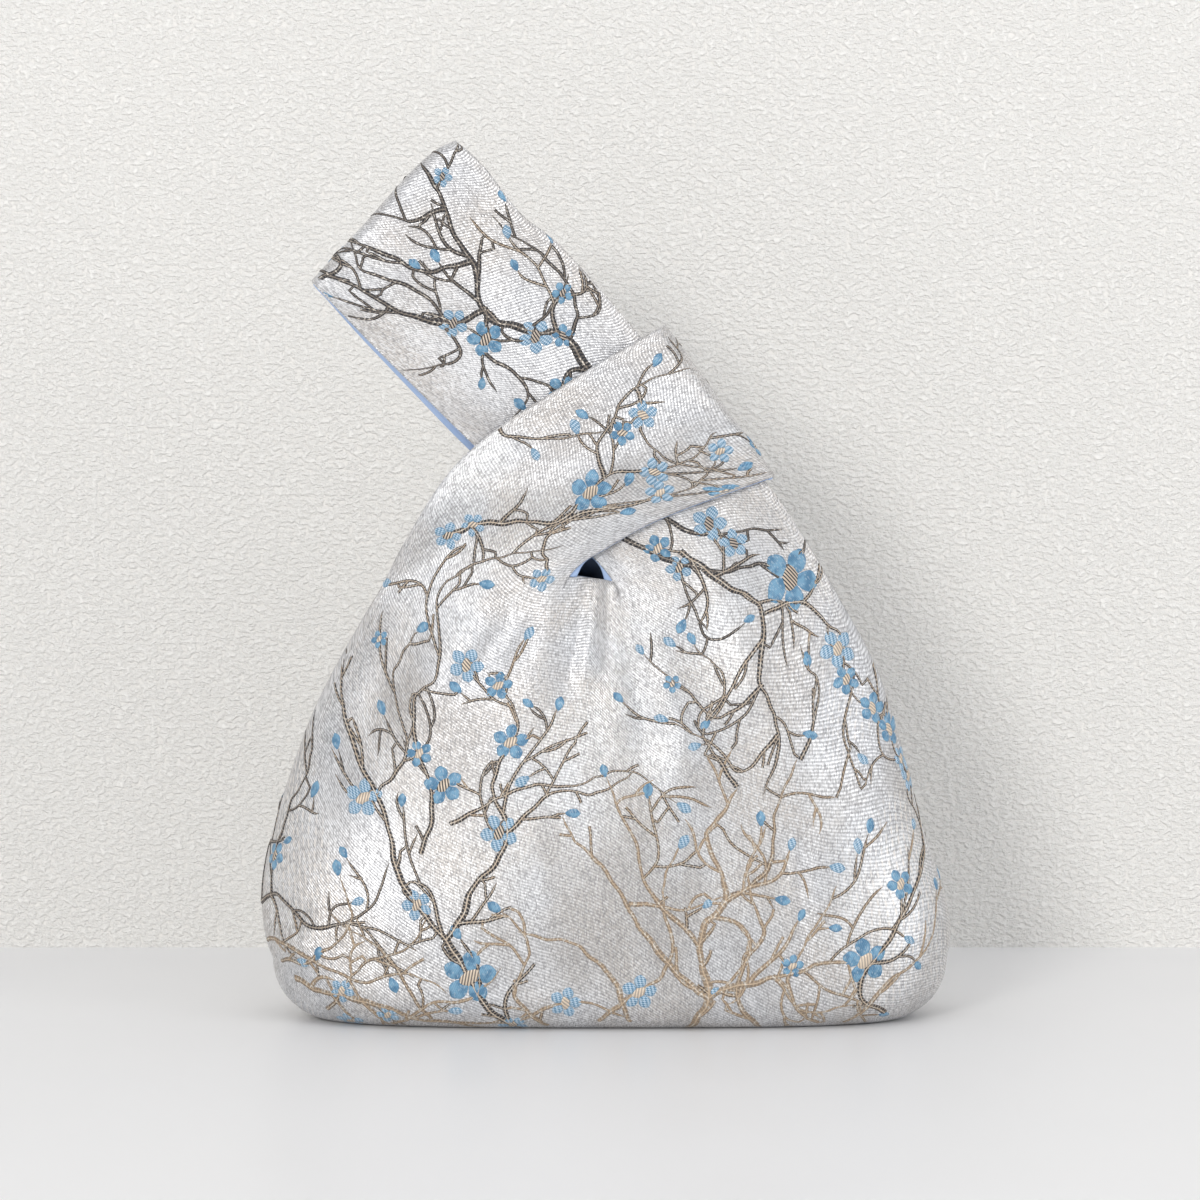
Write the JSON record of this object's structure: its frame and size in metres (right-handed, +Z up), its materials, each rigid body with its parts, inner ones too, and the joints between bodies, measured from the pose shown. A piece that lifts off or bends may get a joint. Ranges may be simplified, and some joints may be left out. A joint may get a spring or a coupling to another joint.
{
  "type": "knot bag",
  "caption": "Soft wrist bag with a rounded, flat-based pouch whose long strap loop pulls through a short strap loop to close the mouth and hang from the wrist.",
  "frame": {"origin": "centre of the flat base, on the surface that the bag stands on", "axes": "+X to the bag's right as seen from its front, +Y from the front panel to the back panel, +Z up"},
  "size_m": [0.2301, 0.076, 0.2917],
  "materials": {
    "brocade": "silver brocade with a satin sheen, woven with tan and charcoal branches and blue blossoms",
    "lining_satin": "smooth pale blue satin lining"
  },
  "bodies": {
    "root": {"outer_front_panel": "brocade", "outer_back_panel": "brocade", "lining_front_panel": "lining_satin", "lining_back_panel": "lining_satin"}
  },
  "joints": []
}
